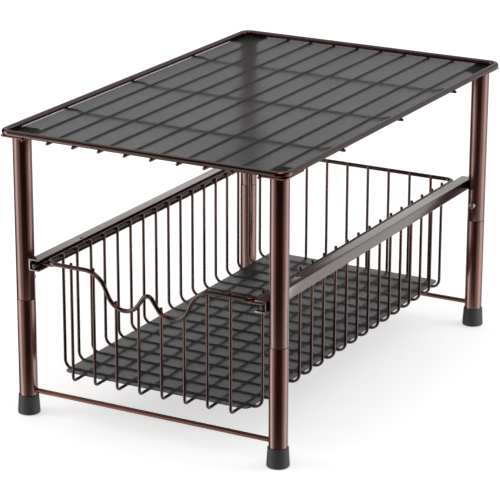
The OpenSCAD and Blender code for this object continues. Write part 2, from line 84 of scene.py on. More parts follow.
place_camera()
bpy.context.scene.view_settings.view_transform = "Standard"


# ---------------------------------------------------------------------------
# Sizes, in millimetres, the same as in the CAD source
# ---------------------------------------------------------------------------
def spread(n, reach, middle=0.0):
    """n places at even steps, from middle - reach to middle + reach."""
    return [middle + reach * (2 * i / (n - 1) - 1) for i in range(n)]


# Corners of the frame, with their sides in x and in y
CORNERS = {"front_left": (-1, -1), "front_right": (1, -1), "back_left": (-1, 1), "back_right": (1, 1)}
SIDES = {"left": -1, "right": 1}

# Shelf: the rim rod, the wires under it, the corner plates and the loose sheet
SHELF_W, SHELF_D, SHELF_H = 287.0, 450.0, 269.0
RIM_R, RIM_CORNER = 2.75, 9.0
RIM_X, RIM_Y, RIM_Z = SHELF_W / 2 - RIM_R, SHELF_D / 2 - RIM_R, SHELF_H - RIM_R
UNDER_RIM = SHELF_H - 2 * RIM_R
SHELF_WIRE_R = 1.3
LONG_Z = UNDER_RIM - SHELF_WIRE_R
CROSS_Z = LONG_Z - 2 * SHELF_WIRE_R
LONG_INSET, CROSS_INSET = 26.05, 109.0
SHELF_LONG_X = spread(10, SHELF_W / 2 - LONG_INSET)
SHELF_CROSS_Y = spread(3, SHELF_D / 2 - CROSS_INSET)
# A cross wire steps up outside the outermost long wires: the step's slope in degrees and the radius
# of its bends, how far outside the long wire it starts, and how far inside the shelf's side it ends
STEP_SLOPE, STEP_BEND = 16.0, 12.0
STEP_START, STEP_TIP = 1.2 * SHELF_WIRE_R, 0.1
PLATE_W, PLATE_L, PLATE_T = 23.0, 34.0, 1.2
PLATE_INSET, PLATE_SNIP, PLATE_EDGE = 1.4, 3.0, 0.2
PLATE_Z = UNDER_RIM - PLATE_T
LINER_T, LINER_CORNER, LINER_EDGE = 1.2, 6.0, 0.15
SHELF_LINER_GAP = 0.6

# Legs, feet and the two bars near the floor
LEG_X, LEG_Y, LEG_R, LEG_BORE = 128.5, 207.4, 8.5, 7.3
SEAM_Z, SEAM_GAP, SEAM_ROUND, TUBE_EDGE = 110.0, 0.15, 0.4, 0.1
# A tube's rounding has one corner in its middle, this share of its size in from both faces
ROUND_MIDDLE = 0.3
FOOT_H, FOOT_BASE, FOOT_TOP, FOOT_FLOOR = 18.0, 10.3, 9.3, 4.0
FOOT_PLAY = 0.05
# The roundings of a foot's base and top edge: how far in from the side, and from the floor or the top
FOOT_ROUND = ((1.3, 0.0), (0.65, 0.17), (0.17, 0.62), (0.0, 1.3))
FOOT_LIP = ((0.0, 0.5), (0.12, 0.13), (0.4, 0.0))
BAR_Z, BAR_R, BAR_SINK = 22.7, 2.25, 0.3
BAR_BEAD, BAR_BEAD_OUT = (0.8, 2.9, 2.9), 0.05

# Locking buttons, and the V shaped leaf springs behind them, measured out from the leg's middle
BUTTON_Z, BUTTON_R, BUTTON_TIP, BUTTON_ROUND, BUTTON_PLAY = 126.8, 2.75, 13.0, 0.8, 0.05
FLANGE_R, FLANGE_BACK, FLANGE_FRONT = 3.8, 3.58, 4.38
HOLE_DEEP = LEG_R + 4.0
LEAF_BACK, LEAF_FRONT, LEAF_PRESS = -5.44, 3.28, 4.4
LEAF_T, LEAF_W, LEAF_DROP = 0.5, 5.0, 25.0
LEAF_FOLD, LEAF_BEND, LEAF_ABOVE = 3.0, 1.0, 1.0

# Rails: the channel, the stop pressed from its top flange, and the lip at its rear end
RAIL_X, RAIL_Y, RAIL_Z = 120.0, 214.4, 139.5
RAIL_W, RAIL_H, RAIL_T, RAIL_BEND = 11.0, 11.0, 1.2, 1.6
RAIL_EDGE, RAIL_SOFT = 0.2, 0.12
STOP_FROM_FRONT, STOP_INSET, STOP_PLAY, STOP_REACH, STOP_HAIR = 76.0, 1.2, 0.4, 1.0, 0.03
LIP_H, LIP_HAIR = 4.0, 0.02

# Basket: the rim rod with the wave, the wires bent to a U, and the loose sheet on its floor
BASKET_RIM_R, BASKET_CORNER = 2.0, 9.0
BASKET_X, BASKET_FRONT, BASKET_REAR, BASKET_Z = 105.0, -209.5, 205.5, 147.5
BASKET_MIDDLE = (BASKET_FRONT + BASKET_REAR) / 2
BASKET_HALF_W = BASKET_X + BASKET_RIM_R
BASKET_HALF_D = (BASKET_REAR - BASKET_FRONT) / 2 + BASKET_RIM_R
BASKET_WIRE_R, WIRE_ABOVE = 1.4, 2.8
WIRE_X = BASKET_X - BASKET_RIM_R - BASKET_WIRE_R
WIRE_FRONT = BASKET_FRONT + BASKET_RIM_R + BASKET_WIRE_R
WIRE_REAR = BASKET_REAR - BASKET_RIM_R - BASKET_WIRE_R
SIDE_LOW, SIDE_BEND, LONG_BEND = 41.2, 8.5, 4.5
LONG_LOW = SIDE_LOW - 2 * BASKET_WIRE_R
SIDE_WIRE_INSET, LONG_WIRE_INSET = 24.7, 26.15
BASKET_SIDE_Y = spread(17, BASKET_HALF_D - SIDE_WIRE_INSET, BASKET_MIDDLE)
BASKET_LONG_X = spread(8, BASKET_HALF_W - LONG_WIRE_INSET)
BASKET_LINER_GAP_X, BASKET_LINER_GAP_Y, BASKET_LINER_LIFT = 5.5, 4.5, 0.25

# Runners: rods in the rails, each with a cap in front and two short links to the basket's rim
RUNNER_R, RUNNER_GAP, RUNNER_LIFT, RUNNER_EDGE = 2.3, 1.2, 0.3, 0.5
RUNNER_X = RAIL_X - RAIL_T - RUNNER_GAP - RUNNER_R
RUNNER_Z = RAIL_Z + RAIL_T + RUNNER_LIFT + RUNNER_R
RUNNER_FRONT, RUNNER_REAR = -RAIL_Y + 1.2, RAIL_Y - RAIL_T - 0.45
CAP_FRONT, CAP_L, CAP_PROUD = -RAIL_Y + 0.8, 5.0, 0.12
# The cap's blunt nose and rear edge: how far inside the runner's skin, and how far along
CAP_FLAT, CAP_TUCK, CAP_NOSE, CAP_SHOULDER, CAP_TAIL = 0.5, 0.05, 0.2, 0.7, 0.4
LINK_R, LINK_EDGE = 1.25, 0.2
LINK_Z = BASKET_Z - BASKET_RIM_R - LINK_R
LINK_Y = (BASKET_FRONT + 4.0, BASKET_REAR - 4.0)
LINK_IN, LINK_OUT, LINK_BEAD_X = BASKET_X - 4.5, RUNNER_X - 0.4, BASKET_X - 1.0

# How finely round shapes are built: sides of a round section, and chamfer at a wire's cut ends
THICK_ROD, BAR_ROD, THIN_ROD = 28, 24, 20
WIRE_CUT = 0.3


# ---------------------------------------------------------------------------
# Mesh helpers. Repeated parts are one mesh, and a mesh keeps its place in its points.
# ---------------------------------------------------------------------------
def new_object(name, verts, faces):
    """A mesh object in the scene, from points in metres."""
    mesh = bpy.data.meshes.new(name)
    mesh.from_pydata(verts, [], faces)
    mesh.update()
    obj = bpy.data.objects.new(name, mesh)
    bpy.context.scene.collection.objects.link(obj)
    return obj


def edit_mesh(obj, work=None):
    """Turns the faces outward, and then does the work, if any, on the open mesh."""
    bm = bmesh.new()
    bm.from_mesh(obj.data)
    bmesh.ops.recalc_face_normals(bm, faces=bm.faces)
    if work:
        work(bm)
    bm.to_mesh(obj.data)
    bm.free()
    obj.data.update()


def shade(bm, limit):
    """Smooth faces, with a hard edge wherever the surface turns by more than the limit."""
    for face in bm.faces:
        face.smooth = True
    for edge in bm.edges:
        if len(edge.link_faces) == 2:
            edge.smooth = edge.calc_face_angle(0.0) < limit


class Part:
    """Collects closed shells, in millimetres, and makes one object of them."""

    def __init__(self, name):
        self.name = name
        self.verts = []
        self.faces = []

    def add(self, verts, faces):
        base = len(self.verts)
        self.verts += [tuple(v) for v in verts]
        self.faces += [tuple(base + i for i in f) for f in faces]

    def raw(self):
        return new_object(self.name, [(x * MM, y * MM, z * MM) for x, y, z in self.verts], self.faces)

    def make(self, material, body, replaces, sharp=40.0, extra=None):
        """The finished piece on its body; extra changes its mesh before it is shaded."""
        obj = self.raw()
        if extra:
            extra(obj)
        edit_mesh(obj, lambda bm: shade(bm, math.radians(sharp)))
        obj.data.materials.append(material)
        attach(obj, body)
        if replaces:
            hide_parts(*replaces)
        return obj


def turns(seg):
    """The angles of seg even steps round a circle."""
    return [2 * math.pi * k / seg for k in range(seg)]


def arc(x, y, radius, start, end, count):
    """Points on an arc about (x, y), from one angle to another, in degrees."""
    angles = [math.radians(start + (end - start) * k / count) for k in range(count + 1)]
    return [(x + radius * math.cos(w), y + radius * math.sin(w)) for w in angles]


def skin(rows, ring, closed=False):
    """Faces between neighbouring rows of points, where each row is a ring."""
    faces = []
    for row in range(rows if closed else rows - 1):
        after = (row + 1) % rows
        for k in range(ring):
            m = (k + 1) % ring
            faces.append((row * ring + k, row * ring + m, after * ring + m, after * ring + k))
    return faces


def ends(rows, ring):
    """The two flat faces that close the first and the last row."""
    return [tuple(range(ring)), tuple(range((rows - 1) * ring, rows * ring))]


def unit(v):
    return v / np.linalg.norm(v)


def fillet_path(corners, radii, closed=False, step=6.0):
    """Points and directions along a polyline whose corners are rounded to arcs."""
    pts = [np.array(c, float) for c in corners]
    n = len(pts)
    path = []
    for i, p in enumerate(pts):
        if not closed and i in (0, n - 1):
            path.append((p, unit(pts[1] - p) if i == 0 else unit(p - pts[n - 2])))
            continue
        before, after = unit(p - pts[i - 1]), unit(pts[(i + 1) % n] - p)
        turn = math.acos(max(-1.0, min(1.0, float(before @ after))))
        radius = radii[i]
        start = p - before * (radius * math.tan(turn / 2))
        inward = unit(after - before * float(before @ after))
        centre = start + inward * radius
        count = max(2, math.ceil(math.degrees(turn) / step))
        for k in range(count + 1):
            w = turn * k / count
            path.append((centre - inward * radius * math.cos(w) + before * radius * math.sin(w),
                         before * math.cos(w) + inward * math.sin(w)))
    return path


def sweep(part, path, radius, seg, closed=False, cut=0.0, normal=(0, 0, 1)):
    """A round rod along a path. Its open ends are flat, with a small chamfer where cut is set."""
    previous = path[0][1]
    normal = np.array(normal, float)
    normal = unit(normal - previous * float(normal @ previous))
    rings = []
    for point, along in path:
        axis = np.cross(previous, along)
        bend = np.linalg.norm(axis)
        if bend > 1e-9:
            axis /= bend
            w = math.atan2(bend, float(previous @ along))
            normal = (normal * math.cos(w) + np.cross(axis, normal) * math.sin(w)
                      + axis * float(axis @ normal) * (1 - math.cos(w)))
        previous = along
        rings.append((point, along, normal, np.cross(along, normal)))
    if cut > 0:
        point, along, across, side = rings[0]
        rings.insert(1, (point + along * cut, along, across, side))
        point, along, across, side = rings[-1]
        rings.insert(-1, (point - along * cut, along, across, side))
    verts = []
    for i, (point, _, across, side) in enumerate(rings):
        r = radius - cut if i in (0, len(rings) - 1) else radius
        verts += [point + across * (r * math.cos(w)) + side * (r * math.sin(w)) for w in turns(seg)]
    faces = skin(len(rings), seg, closed)
    if not closed:
        faces += ends(len(rings), seg)
    part.add(verts, faces)


def rod(part, a, b, radius, seg=THIN_ROD, cut=WIRE_CUT):
    """A straight level rod from a to b."""
    a, b = np.array(a, float), np.array(b, float)
    along = unit(b - a)
    sweep(part, [(a, along), (b, along)], radius, seg, cut=cut)


def lathe(part, profile, centre, seg=64, along_y=0):
    """A closed profile of (radius, height) turned about an upright axis through centre.

    Where along_y is set, the axis is level: 1 points to the back and -1 to the front.
    """
    verts, rows = [], []
    for r, h in profile:
        row = [(0, 0, h)] if r < 1e-6 else [(r * math.cos(w), r * math.sin(w), h) for w in turns(seg)]
        rows.append(range(len(verts), len(verts) + len(row)))
        verts += row
    faces = []
    for a, b in zip(rows, rows[1:] + rows[:1]):
        for k in range(seg):
            m = (k + 1) % seg
            face = dict.fromkeys((a[k % len(a)], a[m % len(a)], b[m % len(b)], b[k % len(b)]))
            if len(face) > 2:
                faces.append(tuple(face))
    if along_y:
        verts = [(x, z * along_y, y) for x, y, z in verts]
    part.add([(x + centre[0], y + centre[1], z + centre[2]) for x, y, z in verts], faces)


def nugget(part, at, size, rings=6, seg=10):
    """A small weld bead: an ellipsoid, whose size is its three half axes."""
    ball = Part("ball")
    lathe(ball, arc(0, 0, 1, -90, 90, rings), (0, 0, 0), seg)
    part.add([[at[i] + size[i] * v[i] for i in range(3)] for v in ball.verts], ball.faces)


def slab(part, outline, z, thick, edge):
    """A flat plate on height z from a closed outline, with small chamfers on its edges."""
    pts = [np.array(p, float) for p in outline]
    n = len(pts)
    inner = []
    for i, p in enumerate(pts):
        before, after = unit(p - pts[i - 1]), unit(pts[(i + 1) % n] - p)
        left = np.array((-before[1], before[0]))
        both = left + np.array((-after[1], after[0]))
        inner.append(p + both / float(both @ left) * edge)
    verts = []
    for ring, height in ((inner, z), (pts, z + edge), (pts, z + thick - edge), (inner, z + thick)):
        verts += [(x, y, height) for x, y in ring]
    part.add(verts, ends(4, n) + skin(4, n))


def rounded_outline(half_x, half_y, radius, middle_y=0.0):
    """A rectangle with round corners."""
    outline = []
    for sx, sy, start in ((1, 1, 0), (-1, 1, 90), (-1, -1, 180), (1, -1, 270)):
        centre = sx * (half_x - radius), middle_y + sy * (half_y - radius)
        outline += arc(*centre, radius, start, start + 90, 10)
    return outline


# ---------------------------------------------------------------------------
# Materials
# ---------------------------------------------------------------------------
BLACK, WHITE = (0.0, 0.0, 0.0), (1.0, 1.0, 1.0)


def times(colour, factor):
    return tuple(factor * c for c in colour)


class Nodes:
    """Short way to write a material's node tree."""

    def __init__(self, name):
        self.mat = bpy.data.materials.new(name)
        self.mat.use_nodes = True
        self.tree = self.mat.node_tree
        self.tree.nodes.clear()
        self.out = self.node("ShaderNodeOutputMaterial")

    def node(self, kind, **inputs):
        """A new node, with the inputs' values by name, where _ stands for a space."""
        made = self.tree.nodes.new(kind)
        for name, value in inputs.items():
            made.inputs[name.replace("_", " ")].default_value = value
        return made

    def link(self, a, b):
        self.tree.links.new(a, b)

    def noise(self, scale, detail=3.0, rough=0.5, stretch=None):
        coord = self.node("ShaderNodeTexCoord").outputs["Object"]
        if stretch:
            mapping = self.node("ShaderNodeMapping", Scale=stretch)
            self.link(coord, mapping.inputs["Vector"])
            coord = mapping.outputs["Vector"]
        made = self.node("ShaderNodeTexNoise", Scale=scale, Detail=detail, Roughness=rough)
        self.link(coord, made.inputs["Vector"])
        return made.outputs["Fac"]

    def ramp(self, fac, low, low_colour, high, high_colour):
        """One colour up to the value low, another from the value high on, and a blend between."""
        made = self.node("ShaderNodeValToRGB")
        for element, place, colour in zip(made.color_ramp.elements, (low, high), (low_colour, high_colour)):
            element.position = place
            element.color = (*colour, 1.0)
        self.link(fac, made.inputs["Fac"])
        return made.outputs["Color"]

    def between(self, fac, low, high):
        """Takes a factor from the range 0 to 1 to the range low to high."""
        made = self.node("ShaderNodeMapRange", To_Min=low, To_Max=high)
        self.link(fac, made.inputs["Value"])
        return made.outputs["Result"]

    def spots(self, fac, low, high, most, colour, under):
        """Lays spots of a colour over another, where fac is above low; most is their share."""
        share = self.between(self.ramp(fac, low, BLACK, high, WHITE), 0.0, most)
        made = self.node("ShaderNodeMix")
        made.data_type = "RGBA"
        made.inputs[7].default_value = (*colour, 1.0)
        self.link(share, made.inputs[0])
        self.link(under, made.inputs[6])
        return made.outputs[2]

    def bump(self, height, strength, distance, before=None):
        made = self.node("ShaderNodeBump", Strength=strength, Distance=distance)
        self.link(height, made.inputs["Height"])
        if before is not None:
            self.link(before, made.inputs["Normal"])
        return made.outputs["Normal"]

    def principled(self, colour, rough, normal, **inputs):
        """The shader, with linked colour, roughness and normal and plain values for the rest."""
        made = self.node("ShaderNodeBsdfPrincipled", **inputs)
        self.link(colour, made.inputs["Base Color"])
        self.link(rough, made.inputs["Roughness"])
        self.link(normal, made.inputs["Normal"])
        self.link(made.outputs["BSDF"], self.out.inputs["Surface"])
        return self.mat


def bronze(name, dark, light, edge, rough=(0.36, 0.44), flow=None, coat_ior=1.55, coat_rough=0.20,
           coat=1.0, skin_depth=1.0):
    """Oil-rubbed bronze: brown metal with a soft sheen under a clear hard lacquer."""
    m = Nodes(name)
    patches = m.noise(38.0, detail=4.0, rough=0.55, stretch=flow)
    flecks = m.noise(2600.0, detail=2.0, rough=0.6)
    # Pointiness lays the edge colour on sharp edges and bends: partly copper wear, partly a painted
    # highlight for the orange glints there.
    worn_edges_and_glint = m.node("ShaderNodeNewGeometry").outputs["Pointiness"]
    colour = m.ramp(patches, 0.32, dark, 0.68, light)
    colour = m.spots(flecks, low=0.60, high=0.78, most=0.16, colour=edge, under=colour)
    colour = m.spots(worn_edges_and_glint, low=0.54, high=0.62, most=0.35, colour=edge, under=colour)
    coarse = m.bump(m.noise(420.0, 2.0), 0.08 * skin_depth, 0.0002)
    fine = m.bump(m.noise(1500.0, 2.0), 0.05 * skin_depth, 0.0001, coarse)
    return m.principled(colour, m.between(m.noise(160.0), *rough), fine, Metallic=1.0,
                        Specular_Tint=(0.32, 0.22, 0.18, 1.0), Coat_Weight=coat,
                        Coat_IOR=coat_ior, Coat_Roughness=coat_rough)


def plastic_sheet(name, colour, rough, ior):
    """Smoke grey frosted sheet that lets some light through."""
    m = Nodes(name)
    cloud = m.ramp(m.noise(14.0), 0.3, times(colour, 0.95), 0.7, times(colour, 1.05))
    haze = m.between(m.noise(60.0, 2.0), rough * 0.92, rough * 1.08)
    grain = m.bump(m.noise(2600.0, 2.0), 0.04, 0.00004)
    return m.principled(cloud, haze, grain, Transmission_Weight=0.96, IOR=ior)


def rubber(name, dark, light, rough, grip):
    """Dark rubber or plastic with a fine grain and a little dust."""
    m = Nodes(name)
    grain = m.noise(900.0, detail=4.0, rough=0.6)
    colour = m.ramp(m.noise(70.0), 0.3, (dark,) * 3, 0.7, (light,) * 3)
    colour = m.spots(grain, low=0.62, high=0.8, most=0.25, colour=(2 * light,) * 3, under=colour)
    return m.principled(colour, m.between(grain, *rough), m.bump(grain, grip, 0.00015))


def steel(name, colour, rough):
    """Bare steel with fine upright lines."""
    m = Nodes(name)
    lines = m.noise(900.0, rough=0.6, stretch=(1.0, 1.0, 0.08))
    tone = m.ramp(lines, 0.3, times(colour, 0.85), 0.7, colour)
    return m.principled(tone, m.between(lines, rough * 0.85, rough * 1.2), m.bump(lines, 0.12, 0.0001),
                        Metallic=1.0)


# edge is the copper of the flecks and of sharp edges; on sharp edges it is partly wear and partly a painted
# highlight.
TUBE = bronze("bronze_tube", dark=(0.085, 0.029, 0.021), light=(0.125, 0.046, 0.035),
              edge=(0.46, 0.14, 0.06), flow=(1.0, 1.0, 0.35))
WIRE = bronze("bronze_wire", dark=(0.030, 0.010, 0.008), light=(0.048, 0.017, 0.013),
              edge=(0.42, 0.13, 0.06), rough=(0.24, 0.30), coat_ior=1.80, coat_rough=0.12,
              coat=0.50, skin_depth=0.5)
RAIL = bronze("rail_bronze", dark=(0.058, 0.040, 0.036), light=(0.084, 0.060, 0.055),
              edge=(0.34, 0.20, 0.15), flow=(1.0, 0.3, 1.0), coat_ior=1.95, coat_rough=0.18)
BUTTON = steel("button_steel", (0.30, 0.30, 0.30), rough=0.35)
INNER = steel("inner_steel", (0.42, 0.42, 0.41), rough=0.30)
FOOT = rubber("foot_rubber", dark=0.030, light=0.042, rough=(0.52, 0.68), grip=0.22)
# Near-black plastic for the runners and their caps: partly plastic glides, partly painted shade for the dark
# inside of the rail's mouth.
SLIDE_AND_PAINTED_SHADE = rubber("slide_plastic_and_painted_shade", dark=0.008, light=0.012, rough=(0.30, 0.42), grip=0.06)
TOP_SHEET = plastic_sheet("shelf_sheet", (0.146, 0.147, 0.148), rough=0.36, ior=1.045)
LOW_SHEET = plastic_sheet("basket_sheet", (0.150, 0.150, 0.151), rough=0.42, ior=1.06)


# ---------------------------------------------------------------------------
# Shelf
# ---------------------------------------------------------------------------
def shelf_rim():
    x, y, z = RIM_X, RIM_Y, RIM_Z
    corners = [(x, -y, z), (x, y, z), (-x, y, z), (-x, -y, z)]
    part = Part("shelf_rim_rod")
    sweep(part, fillet_path(corners, [RIM_CORNER] * 4, closed=True), RIM_R, THICK_ROD, closed=True)
    part.make(WIRE, "frame", ["shelf_rim"])


def shelf_long_wires():
    part = Part("shelf_long_rods")
    for x in SHELF_LONG_X:
        rod(part, (x, -SHELF_D / 2, LONG_Z), (x, SHELF_D / 2, LONG_Z), SHELF_WIRE_R)
    part.make(WIRE, "frame", ["shelf_long_wires"])


def shelf_cross_wires():
    """They run under the long wires and step up beside them, to end under the rim."""
    part = Part("shelf_cross_rods")
    inset = STEP_BEND * math.tan(math.radians(STEP_SLOPE / 2))
    low = SHELF_W / 2 - LONG_INSET + STEP_START
    high = low + (LONG_Z - CROSS_Z) / math.tan(math.radians(STEP_SLOPE)) + 2 * inset
    tip = SHELF_W / 2 - STEP_TIP
    for y in SHELF_CROSS_Y:
        half = [(tip, y, LONG_Z), (high - inset, y, LONG_Z), (low + inset, y, CROSS_Z)]
        mirrored = [(-a, b, c) for a, b, c in reversed(half)]
        path = fillet_path(half + mirrored, [0] + [STEP_BEND] * 4 + [0], step=4.0)
        sweep(part, path, SHELF_WIRE_R, THIN_ROD, cut=WIRE_CUT, normal=(0, 1, 0))
    part.make(WIRE, "frame", ["shelf_cross_wires"])


def corner_plate(name, sx, sy):
    """A thin plate on a leg's top, square at the outer side and snipped at its other corners."""
    x1, y1 = SHELF_W / 2 - PLATE_INSET, SHELF_D / 2 - PLATE_INSET
    x0, y0, snip = x1 - PLATE_W, y1 - PLATE_L, PLATE_SNIP
    outline = [(x0, y0 + snip), (x0 + snip, y0), (x1, y0), (x1, y1 - snip), (x1 - snip, y1), (x0, y1)]
    outline = [(sx * x, sy * y) for x, y in outline]
    if sx * sy < 0:
        outline.reverse()
    part = Part("plate_" + name)
    slab(part, outline, PLATE_Z, PLATE_T, PLATE_EDGE)
    part.make(TUBE, "frame", ["corner_plate_" + name], sharp=30.0)


def shelf_liner():
    part = Part("shelf_sheet_panel")
    gap = RIM_R + SHELF_LINER_GAP
    slab(part, rounded_outline(RIM_X - gap, RIM_Y - gap, LINER_CORNER), UNDER_RIM, LINER_T, LINER_EDGE)
    part.make(TOP_SHEET, "frame", ["shelf_liner"], sharp=30.0)


shelf_rim()
shelf_long_wires()
shelf_cross_wires()
for name, (sx, sy) in CORNERS.items():
    corner_plate(name, sx, sy)
shelf_liner()


# ---------------------------------------------------------------------------
# Legs with their feet, locking buttons and leaf springs, and the bars between them
# ---------------------------------------------------------------------------
def tube(part, at, z0, z1, low_round, high_round):
    """An upright leg tube whose outer edges are rounded at both ends."""
    r, bore, edge = LEG_R, LEG_BORE, TUBE_EDGE
    low_middle, high_middle = ROUND_MIDDLE * low_round, ROUND_MIDDLE * high_round
    low = [(r - low_round, z0), (r - low_middle, z0 + low_middle), (r, z0 + low_round)]
    high = [(r, z1 - high_round), (r - high_middle, z1 - high_middle), (r - high_round, z1)]
    lathe(part, [(bore, z0 + edge), (bore + edge, z0)] + low + high
          + [(bore + edge, z1), (bore, z1 - edge)], at)


def punch_button_hole(obj, at, sy):
    """Cuts the button's hole through the tube's outer side."""
    cutter = Part("cutter")
    reach = BUTTON_R + BUTTON_PLAY
    lathe(cutter, [(0, 0), (reach, 0), (reach, HOLE_DEEP), (0, HOLE_DEEP)],
          (at[0], at[1], BUTTON_Z), seg=48, along_y=-sy)
    tool = cutter.raw()
    edit_mesh(tool)
    edit_mesh(obj)
    hole = obj.modifiers.new("hole", "BOOLEAN")
    hole.operation = "DIFFERENCE"
    hole.solver = "EXACT"
    hole.object = tool
    bpy.context.view_layer.update()
    punched = obj.evaluated_get(bpy.context.evaluated_depsgraph_get())
    mesh = bpy.data.meshes.new_from_object(punched)
    obj.modifiers.remove(hole)
    obj.data = mesh
    bpy.data.objects.remove(tool)


def upper_leg(name, at, sy):
    part = Part("upper_tube_" + name)
    tube(part, at, SEAM_Z + SEAM_GAP, PLATE_Z, SEAM_ROUND, TUBE_EDGE)
    part.make(TUBE, "frame", ["upper_leg_" + name], sharp=30.0,
              extra=lambda obj: punch_button_hole(obj, at, sy))


def lower_leg(name, at):
    part = Part("lower_tube_" + name)
    tube(part, at, FOOT_FLOOR, SEAM_Z - SEAM_GAP, TUBE_EDGE, SEAM_ROUND)
    part.make(TUBE, "frame", ["lower_leg_" + name], sharp=30.0)


def foot(name, at):
    """A rubber cup with a wider base round the leg's lower end."""
    part = Part("foot_cup_" + name)
    bore = LEG_R + FOOT_PLAY
    base = [(FOOT_BASE - inward, up) for inward, up in FOOT_ROUND]
    top = [(FOOT_TOP - inward, FOOT_H - down) for inward, down in FOOT_LIP]
    lathe(part, [(0, 0)] + base + top + [(bore, FOOT_H), (bore, FOOT_FLOOR), (0, FOOT_FLOOR)], at)
    part.make(FOOT, "frame", ["foot_" + name], sharp=32.0)


def lock_button(name, at, sy):
    """A pin with a round tip, held in the leg by the flange on its back."""
    part = Part("button_" + name)
    tip = arc(BUTTON_R - BUTTON_ROUND, BUTTON_TIP - BUTTON_ROUND, BUTTON_ROUND, 0, 90, 3)
    flange = [(0, FLANGE_BACK), (FLANGE_R, FLANGE_BACK), (FLANGE_R, FLANGE_FRONT), (BUTTON_R, FLANGE_FRONT)]
    lathe(part, flange + tip + [(0, BUTTON_TIP)], (at[0], at[1], BUTTON_Z), seg=40, along_y=-sy)
    part.make(BUTTON, "lock_button_" + name, ["lock_button_" + name], sharp=32.0)


def leaf_spring(name, at, sy):
    """A V shaped leaf: one arm on the leg's far wall, one behind the button. The real leaf closes as the
    button is pressed; here it is built open.
    """
    strip = Part("leaf_strip_" + name)
    back, front, thick, bend = LEAF_BACK, LEAF_FRONT, LEAF_T, LEAF_BEND
    turned, top, bottom = back + LEAF_FOLD, BUTTON_R + LEAF_ABOVE, -LEAF_DROP
    outer = [(back, top), (back, bottom + bend), (back + bend, bottom), (turned - bend, bottom),
             (turned, bottom + bend), (front, -top - bend), (front, top)]
    inner = [(front - thick, top), (front - thick, -top - bend), (turned - thick, bottom + bend + thick),
             (back + thick, bottom + bend + thick), (back + thick, top)]
    fold = outer + inner
    strip.add([(at[0] + x, at[1] - sy * y, BUTTON_Z + z)
               for x in (-LEAF_W / 2, LEAF_W / 2) for y, z in fold],
              ends(2, len(fold)) + skin(2, len(fold)))
    spring = strip.make(INNER, "frame", ["leaf_spring_" + name], sharp=30.0)
    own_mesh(spring)


def bar(name, y):
    """The rod between two lower legs, with a weld bead round each end."""
    part = Part(name + "_bar_rod")
    skin_x = LEG_X - LEG_R
    rod(part, (-skin_x - BAR_SINK, y, BAR_Z), (skin_x + BAR_SINK, y, BAR_Z), BAR_R, BAR_ROD, 0.0)
    for side in SIDES.values():
        nugget(part, (side * (skin_x + BAR_BEAD_OUT), y, BAR_Z), BAR_BEAD, rings=8, seg=16)
    part.make(WIRE, "frame", [name + "_bar"])


for name, (sx, sy) in CORNERS.items():
    at = (sx * LEG_X, sy * LEG_Y, 0)
    upper_leg(name, at, sy)
    lower_leg(name, at)
    foot(name, at)
    lock_button(name, at, sy)
    leaf_spring(name, at, sy)
bar("front", -LEG_Y)
bar("back", LEG_Y)


# ---------------------------------------------------------------------------
# Rails: one bent channel each, with a pressed stop and a turned up end
# ---------------------------------------------------------------------------
def rail_profile(stop_x0, stop_x1):
    """The channel's section in x and z, with corners where the stop's window is cut."""
    t, edge = RAIL_T, RAIL_EDGE
    low_x, bend_x = RAIL_X - RAIL_W, RAIL_X - RAIL_BEND
    z0, z1 = RAIL_Z, RAIL_Z + RAIL_H
    low_z, high_z, inside = z0 + RAIL_BEND, z1 - RAIL_BEND, RAIL_BEND - t
    outer = ([(low_x + edge, z0)]
             + arc(bend_x, low_z, RAIL_BEND, -90, 0, 6) + arc(bend_x, high_z, RAIL_BEND, 0, 90, 6)
             + [(stop_x1, z1), (stop_x0, z1), (low_x + edge, z1), (low_x, z1 - edge)])
    inner = ([(low_x, z1 - t + edge), (low_x + edge, z1 - t), (stop_x0, z1 - t), (stop_x1, z1 - t)]
             + arc(bend_x, high_z, inside, 90, 0, 6) + arc(bend_x, low_z, inside, 0, -90, 6)
             + [(low_x + edge, z0 + t), (low_x, z0 + t - edge), (low_x, z0 + edge)])
    return outer + inner


def bevel_sharp_edges(bm):
    edges = [e for e in bm.edges if len(e.link_faces) == 2 and e.calc_face_angle(0) > math.radians(60)]
    bmesh.ops.bevel(bm, geom=edges, offset=RAIL_SOFT * MM, segments=2, profile=0.5, affect="EDGES",
                    clamp_overlap=True)


